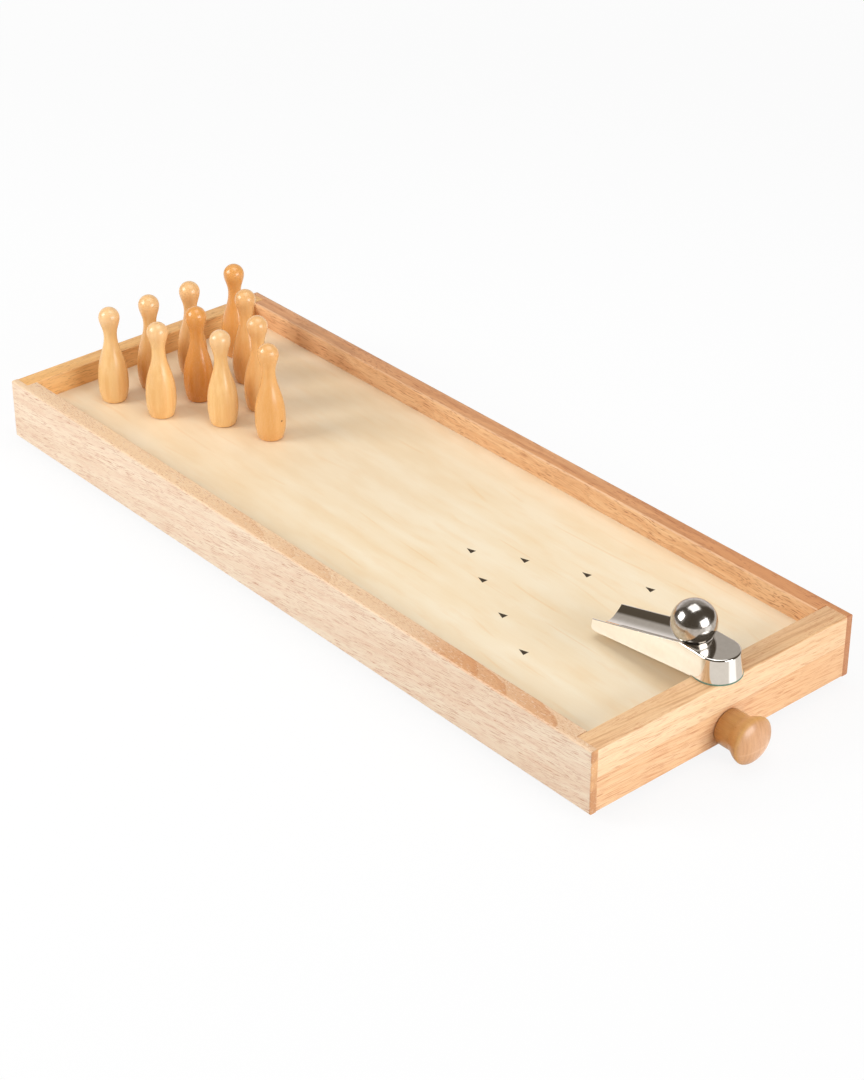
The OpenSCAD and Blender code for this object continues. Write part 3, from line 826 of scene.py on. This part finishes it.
# Ramp
# The launching ramp is a small zinc casting, polished and chrome plated: a round end that
# stands on the front board, and a groove that leads the ball down to the lane.
ramp_low, ramp_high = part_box("ramp_body")
RAMP_FOOT_R, RAMP_LIP_R, RAMP_HIGH, RIM_ROUND = 14.2, 11.8, 14.0, 1.2
NOSE_DROP, TRACK_DEPTH, NOSE_FLOOR, NOSE_ROUND, HEEL = 3.6, 5.8, 0.8, 3.0, 0.6
TRACK_R, TRACK_SLOPE, BALL_SEAT = 13.6, math.radians(14.8), 18.5
CAST_ROUND, CAST_ANGLE, FOOT_STEPS = 0.25, 24, 144
ramp_foot = Vector(((ramp_low.x + ramp_high.x) / 2, ramp_low.y + RAMP_FOOT_R * MM,
                    ramp_high.z - RAMP_HIGH * MM))
ramp_long = (ramp_high.y - ramp_foot.y) / MM
nose_under = NOSE_DROP + TRACK_DEPTH + NOSE_FLOOR
lip_start = ramp_long - (RAMP_HIGH + NOSE_DROP) / math.tan(TRACK_SLOPE)
track_axis = (TRACK_R - TRACK_DEPTH * math.cos(TRACK_SLOPE)) / math.cos(TRACK_SLOPE) - NOSE_DROP
pad_long = (front_high.y - ramp_foot.y) / MM
side_draft = (RAMP_FOOT_R - RAMP_LIP_R) / (RAMP_HIGH + lip_start * math.tan(TRACK_SLOPE))


def on_ramp(x, y, z):
    """A place on the ramp, in millimetres from the middle of its round foot."""
    return ramp_foot + Vector((x, y, z)) * MM


def prism(name, outline, half):
    """An outline of (y, z) in the ramp's millimetres, as wide as half on each side."""
    points = [on_ramp(-half, y, z) for y, z in outline]
    piece = draw(name, points)
    bpy.ops.mesh.select_all(action="SELECT")
    bpy.ops.mesh.edge_face_add()
    bpy.ops.mesh.extrude_region_move(TRANSFORM_OT_translate={"value": (2 * half * MM, 0, 0)})
    return close_up(piece)


def rim(radius, height, rounding, steps):
    """The points of a rounded rim, from its side up to its top, as radius and height."""
    return [(radius - rounding * (1 - math.cos(turn)), height - rounding * (1 - math.sin(turn)))
            for turn in quarter(steps)]


def ramp_blank():
    """The casting before its groove: rings and corners, closed over like a skin."""
    bpy.ops.object.select_all(action="DESELECT")
    bpy.ops.mesh.primitive_circle_add(vertices=FOOT_STEPS, radius=RAMP_FOOT_R * MM,
                                      location=ramp_foot)
    blank = settle(bpy.context.object)
    blank.name = "ramp_body_dressed"
    bpy.ops.object.mode_set(mode="EDIT")
    brow_r = RAMP_FOOT_R - side_draft * (RAMP_HIGH - RIM_ROUND)
    for wide, z in rim(brow_r, RAMP_HIGH, RIM_ROUND, steps=8):
        bpy.ops.mesh.primitive_circle_add(vertices=FOOT_STEPS, radius=wide * MM,
                                          location=on_ramp(0, 0, z))
    corners = [(wide, lip_start, z) for wide, z in rim(RAMP_LIP_R, RAMP_HIGH, CAST_ROUND, steps=5)]
    corners += [(wide, ramp_long, z) for wide, z in rim(RAMP_LIP_R, -NOSE_DROP, CAST_ROUND, steps=5)]
    corners.append((RAMP_LIP_R + side_draft * (nose_under - NOSE_DROP), ramp_long, -nose_under))
    for wide, y, z in corners:
        bpy.ops.mesh.primitive_plane_add(size=2 * wide * MM, location=on_ramp(0, y, z))
        bpy.ops.transform.resize(value=(1, 0, 1), center_override=on_ramp(0, y, z))
    bpy.ops.mesh.select_all(action="SELECT")
    bpy.ops.mesh.remove_doubles(threshold=SAME_PLACE)
    bpy.ops.mesh.convex_hull()
    bpy.ops.mesh.select_all(action="SELECT")
    bpy.ops.mesh.dissolve_limited(angle_limit=math.radians(0.05))
    return close_up(blank)


def under_ramp():
    """What lies under the ramp: level over the rail, then a slope down to the rounded nose."""
    slope = math.atan((nose_under - HEEL) / (ramp_long - pad_long))
    y = ramp_long - NOSE_ROUND
    z = -HEEL - (y - pad_long) * math.tan(slope) + NOSE_ROUND / math.cos(slope)
    turns = [(math.pi / 2 + slope) * (share - 1) for share in shares(12)]
    nose = [(y + NOSE_ROUND * math.cos(turn), z + NOSE_ROUND * math.sin(turn)) for turn in turns]
    deep = -2 * nose_under
    outline = [(-2 * RAMP_FOOT_R, 0), (pad_long, 0), (pad_long, -HEEL), *nose,
               (ramp_long + 1, z), (ramp_long + 1, deep), (-2 * RAMP_FOOT_R, deep)]
    return prism("under_ramp", outline, 2 * RAMP_FOOT_R)


def ramp_groove():
    """A round bar with a round end, along the slope."""
    outline = [(TRACK_R * math.sin(turn), -TRACK_R * math.cos(turn)) for turn in quarter(32)]
    outline += [(TRACK_R, 2 * ramp_long), (0, 2 * ramp_long)]
    seat = on_ramp(0, BALL_SEAT, track_axis + (ramp_long - BALL_SEAT) * math.tan(TRACK_SLOPE))
    down_slope = (0, math.cos(TRACK_SLOPE), -math.sin(TRACK_SLOPE))
    return turned("ramp_groove", outline, seat, down_slope, steps=160)


def chrome_finish():
    finish = Finish("ramp_chrome")
    ripple = finish.noise(finish.place, 14, 11, 1.0)
    haze = finish.noise(finish.place, 3, 3, 3.0)
    colour = finish.mix(shade(244, 241, 236), shade(232, 228, 222), haze)
    return finish.done(colour, haze * 0.05 + 0.04, ripple, 0.02, metallic=1.0)


ramp = ramp_blank()
carve(ramp, under_ramp(), ramp_groove())
break_edges(ramp, CAST_ROUND * MM, steps=3, angle=CAST_ANGLE)
polished = ramp.modifiers.new("polished", "WEIGHTED_NORMAL")
polished.keep_sharp = True
bpy.ops.object.modifier_apply(modifier=polished.name)
placed(ramp, "ramp_body", "ramp", chrome_finish())

# Ramp felt
# A thin pad of green felt keeps the ramp from scratching the front board. It is cut to the
# round end's shape and glued under it.
felt_low, felt_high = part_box("ramp_felt")
FELT_PROUD, FELT_EDGE = 0.2, 0.15


def felt_finish():
    finish = Finish("ramp_felt")
    fuzz = finish.noise(finish.place, 0.3, 0.3, 4.0)
    colour = finish.mix(shade(70, 104, 86), shade(124, 156, 136), fuzz.rise(0.3, 0.7))
    return finish.done(colour, fuzz * 0.05 + 0.92, fuzz, 0.15, sheen_weight=0.3)


felt_thick = (felt_high.z - felt_low.z) / MM
felt_r = RAMP_FOOT_R + FELT_PROUD
felt_outline = [(0, 0), (felt_r - FELT_EDGE, 0), (felt_r, 0.2),
                (felt_r - 0.05, felt_thick - 0.1), (felt_r - FELT_EDGE, felt_thick), (0, felt_thick)]
felt = turned("ramp_felt_dressed", felt_outline, (ramp_foot.x, ramp_foot.y, felt_low.z))
pick(felt)
bpy.ops.mesh.bisect(plane_co=(0, felt_high.y, 0), plane_no=(0, 1, 0), use_fill=True, clear_outer=True)
close_up(felt)
shade_round(felt, 50)
placed(felt, "ramp_felt", "ramp", felt_finish())

# Ball
# The ball is steel, ground and polished like a large bearing ball. It isn't fixed, and rests in
# the ramp's groove.
ball_low, ball_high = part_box("ball")
ball_r = (ball_high.x - ball_low.x) / 2
ball_middle = (ball_low + ball_high) / 2
BALL_CUTS = 39


def steel_finish():
    finish = Finish("ball_steel")
    haze = finish.noise(finish.place, 1.5, 1.5, 3.0).rise(0.3, 0.7)
    colour = finish.mix(shade(208, 204, 200), shade(192, 187, 181), haze)
    return finish.done(colour, haze * 0.08 + 0.14, haze, 0.004, metallic=1.0)


corner = Vector((ball_r, ball_r, ball_r))
ball = block("ball_dressed", ball_middle - corner, ball_middle + corner)
pick(ball)
bpy.ops.mesh.subdivide(number_cuts=BALL_CUTS)
bpy.ops.transform.tosphere(value=1.0, center_override=ball_middle)
bpy.ops.object.mode_set(mode="OBJECT")
real_r = (ball.data.vertices[0].co - ball_middle).length
pick(ball)
bpy.ops.transform.resize(value=[ball_r / real_r] * 3, center_override=ball_middle)
bpy.ops.object.mode_set(mode="OBJECT")
shade_round(ball, 60)
placed(ball, "ball", "ball", steel_finish())

# Pins
# Ten pins are turned from a pale honey hardwood, sanded and varnished to a gloss. Each base is
# drilled for its string, which is glued in.
PIN_BASE_R, PIN_BELLY_R, PIN_BELLY_Z = 7.7, 9.85, 12.0
PIN_NECK_R, PIN_NECK_Z, PIN_HEAD_R = 4.25, 45.0, 6.75
PIN_HOLE_R, PIN_HOLE_LONG, PIN_HOLE_EASE, PIN_EDGE = 1.1, 15.0, 0.2, 0.9
BASE_FULL, NECK_LATE, HEAD_LATE = 0.8, 1.3, 1.2
pin_head_z = (pin_boxes[0][1].z - pin_boxes[0][0].z) / MM - PIN_HEAD_R


def pin_radius(z):
    if z < PIN_BELLY_Z:
        share = math.sin(math.pi / 2 * (z / PIN_BELLY_Z) ** BASE_FULL)
        return PIN_BASE_R + (PIN_BELLY_R - PIN_BASE_R) * share
    if z < PIN_NECK_Z:
        share = (z - PIN_BELLY_Z) / (PIN_NECK_Z - PIN_BELLY_Z)
        return PIN_BELLY_R + (PIN_NECK_R - PIN_BELLY_R) * swell(share, NECK_LATE)
    share = (z - PIN_NECK_Z) / (pin_head_z - PIN_NECK_Z)
    return PIN_NECK_R + (PIN_HEAD_R - PIN_NECK_R) * swell(share, HEAD_LATE)


def pin_outline():
    """From the top of the string hole, round the base, and up to the crown."""
    points = [(0, PIN_HOLE_LONG), (PIN_HOLE_R, PIN_HOLE_LONG),
              (PIN_HOLE_R, PIN_HOLE_EASE), (PIN_HOLE_R + PIN_HOLE_EASE, 0)]
    for turn in quarter(5)[:-1]:
        points.append((pin_radius(PIN_EDGE) - PIN_EDGE * (1 - math.sin(turn)),
                       PIN_EDGE * (1 - math.cos(turn))))
    for share in shares(60):
        z = PIN_EDGE + (pin_head_z - PIN_EDGE) * share
        points.append((pin_radius(z), z))
    for turn in quarter(16)[1:]:
        points.append((PIN_HEAD_R * max(math.cos(turn), 0), pin_head_z + PIN_HEAD_R * math.sin(turn)))
    return points


# Each pin was turned from its own stick: how far its tone goes from pale to orange, and how much
# painted shade darkens its lower body, where the back pins stand in the shadow of the front ones
PIN_TONES = ((0.15, 0), (0.35, 0.55), (0.45, 0.4), (1.0, 0), (0.2, 0),
             (1.1, 0.35), (0.65, 0.3), (0.1, 0), (0.5, 0), (0.7, 0))
# A small dark knot on the tenth pin, from the middle of its foot
KNOT, KNOT_R = Vector((1.6, -9.7, 14)), 0.6
# A short end of string bridges a toppled pin and its hole: radius, reach into the lane, reach
# into the pin, and the span, cut into fine steps, over which it bends from one to the other
TAIL_R, TAIL_IN_LANE, TAIL_IN_PIN = STRING_R * MM * 0.9, 2 * MM, 14 * MM
BEND_BELOW, BEND_ABOVE, BEND_STEPS = 1 * MM, 2 * MM, 12


def pin_finish(n, foot, tone, foot_shade):
    def tint(finish, colour, place):
        colour = finish.mix(colour, shade(218, 136, 40), tone * 0.65)
        # Painted shade: the lower body darkens where a pin stands in the shadow of the pins in front
        lower = 1 - finish.z.rise(foot.z / MM + PIN_BELLY_Z, foot.z / MM + PIN_NECK_Z)
        colour = finish.mix(colour, shade(184, 104, 14), lower * foot_shade)
        # Painted highlight: the heads of the paler pins are greyed and paled, as a broad soft sheen shows
        # them
        painted_head_sheen = finish.z.rise(foot.z / MM + PIN_NECK_Z, foot.z / MM + pin_head_z)
        colour = finish.mix(colour, shade(232, 190, 150), painted_head_sheen * max(1 - tone, 0) * 0.4)
        if n == 10:
            from_knot = finish.vector("SUBTRACT", finish.place, foot / MM + KNOT)
            far = finish.node("VectorMath", {"operation": "LENGTH"}, {0: from_knot}, "Value")
            colour = finish.mix(colour, shade(96, 54, 28), 1 - far.rise(KNOT_R * 0.5, KNOT_R * 1.5))
        return colour

    return wood(f"pin_wood_{n:02d}", "Z", shade(248, 208, 146), shade(236, 182, 112), shade(180, 112, 56),
                seed=13.0 * n, wander=0.4, bands=0.5, band_wide=3.2, streaks=0.12, streak_wide=0.9,
                fibres=0.35, pores=0.1, pore_long=4.0, pore_wide=0.35, tint=tint, shine=0.24, coat=0.5)


first_pin = turned("pin_01_dressed", pin_outline(), pin_feet[0])
shade_round(first_pin, 50)
bend_low, bend_high = lane_high.z - BEND_BELOW, lane_high.z + BEND_ABOVE
bend_levels = [bend_low + (bend_high - bend_low) * share for share in shares(BEND_STEPS)]
for n, (foot, (tone, foot_shade)) in enumerate(zip(pin_feet, PIN_TONES), start=1):
    pin = first_pin if n == 1 else copied(first_pin, f"pin_{n:02d}_dressed", foot - pin_feet[0])
    pin_wood = pin_finish(n, foot, tone, foot_shade)
    placed(pin, f"pin_{n:02d}", f"pin_{n:02d}", pin_wood)
    levels = [lane_high.z - TAIL_IN_LANE, *bend_levels, foot.z + TAIL_IN_PIN]
    tail = cord(f"pin_string_{n:02d}", [Vector((foot.x, foot.y, z)) for z in levels], TAIL_R)
    tail.data.materials.append(cotton)
    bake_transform(tail)

# Studio
# A white floor and backdrop. A soft square lamp stands behind on the left, one hangs above, a
# wide one is low in front, and polished metal sees the grey paper, the table and the dark room.
FLOOR_SIZE, SHADOW_SHARE, WORLD_LIGHT = 8.0, 0.12, 0.4
WHITE, ROOM_DARK = (1, 1, 1, 1), (0.09, 0.072, 0.053, 1)
TABLE_GREY, TABLE_SHEEN = (0.78, 0.72, 0.65, 1), (1.35, 1.33, 1.3, 1)
PAPER_LOW, PAPER_HIGH, PAPER_TURN = (0.86, 0.81, 0.79, 1), (0.42, 0.385, 0.35, 1), math.radians(41)
# Where each thing fades: over millimetres on the table, and over shares of the way up or round
TABLE_END, SHADOW_END, SHEEN_FROM, SHEEN_TO = (900, 1400), (700, 1600), (0, 0.15), (0.7, 0.95)
PAPER_SIDE, PAPER_TOP, PAPER_FADE = (0.62, 0.8), (0.58, 0.88), (0.15, 0.5)


def ray_kinds(nodes):
    """What the camera or a pane sees, and what a reflection sees."""
    camera, pane, mirror = (nodes.node("LightPath", {}, {}, "Is " + kind + " Ray")
                            for kind in ("Camera", "Transmission", "Glossy"))
    return (camera + pane).clamped(), mirror


bpy.ops.object.select_all(action="DESELECT")
bpy.ops.mesh.primitive_plane_add(size=FLOOR_SIZE)
floor = bpy.context.object
floor.name = "floor"
paint = Finish("floor_paint")
paint.done((0.9, 0.9, 0.9, 1), 0.9)
seen, mirrored = ray_kinds(paint)
distance = paint.node("VectorMath", {"operation": "LENGTH"}, {0: paint.place}, "Value")
ahead = (paint.y - ramp_foot.y / MM) * -1.0
beside = (paint.x - ramp_foot.x / MM) / ahead
sheen = beside.rise(*SHEEN_FROM) * (1 - beside.rise(*SHEEN_TO)) * (ahead > 0)
table = paint.mix(TABLE_GREY, TABLE_SHEEN, sheen)
table = paint.mix(table, ROOM_DARK, distance.rise(*TABLE_END))
white = paint.mix(WHITE, table, mirrored)
glow = paint.node("Emission", {}, {"Color": white, "Strength": 1.0})
own = Value(paint, paint.shader.outputs[0])
shadow = (1 - distance.rise(*SHADOW_END)) * SHADOW_SHARE
share = (seen + mirrored).clamped() * (1 - shadow)
surface = paint.tree.nodes["Material Output"].inputs["Surface"]
paint.feed(surface, paint.node("MixShader", {}, {0: share, 1: own, 2: glow}))
floor.data.materials.append(paint.material)

world = bpy.data.worlds.new("studio")
bpy.context.scene.world = world
world.use_nodes = True
sky = Nodes(world.node_tree)
seen, mirrored = ray_kinds(sky)
east, north, up = sky.parts(sky.node("TexCoord", {}, {}, "Generated"))
ahead = east * math.sin(PAPER_TURN) + north * math.cos(PAPER_TURN)
level = (east * east + north * north) ** 0.5
on_paper = (ahead / level).rise(*PAPER_SIDE) * (1 - up.rise(*PAPER_TOP))
paper = sky.mix(PAPER_LOW, PAPER_HIGH, up.rise(*PAPER_FADE))
room = sky.mix(ROOM_DARK, paper, on_paper)
background = world.node_tree.nodes["Background"]
sky.feed(background.inputs["Color"], sky.mix(WHITE, room, mirrored))
sky.feed(background.inputs["Strength"], (seen + mirrored).clamped() * (1 - WORLD_LIGHT) + WORLD_LIGHT)


def lamp(name, place, wide, tall, power):
    """A soft lamp at a place in millimetres that shines on the game."""
    light = bpy.data.lights.new(name, "AREA")
    light.shape = "RECTANGLE"
    light.size, light.size_y = wide, tall
    light.energy = power
    holder = bpy.data.objects.new(name, light)
    bpy.context.collection.objects.link(holder)
    holder.location = Vector(place) * MM
    holder.rotation_euler = Vector(place).to_track_quat("Z", "Y").to_euler()


lamp("lamp_left", (-1424, 944, 1003), 0.9, 0.9, 23)
lamp("lamp_above", (128, -21, 1074), 0.7, 0.7, 3.6)
lamp("lamp_front", (402, -2856, 828), 1.8, 1.4, 51)

CAMERA_PLACE = Vector((-875.6, -1031.8, 835.9)) * MM
CAMERA_LOOK = Vector((0.5584, 0.6472, -0.5189))
CAMERA_ROLL, CAMERA_LENS, CAMERA_SENSOR = math.radians(-0.09), 87.56, 36
camera = bpy.data.objects.new("camera", bpy.data.cameras.new("camera"))
bpy.context.collection.objects.link(camera)
camera.data.lens = CAMERA_LENS
camera.data.sensor_width = CAMERA_SENSOR
look = CAMERA_LOOK.to_track_quat("-Z", "Y").to_matrix() @ Matrix.Rotation(CAMERA_ROLL, 3, "Z")
camera.matrix_world = Matrix.Translation(CAMERA_PLACE) @ look.to_4x4()
bpy.context.scene.camera = camera
bpy.context.scene.view_settings.view_transform = "Standard"
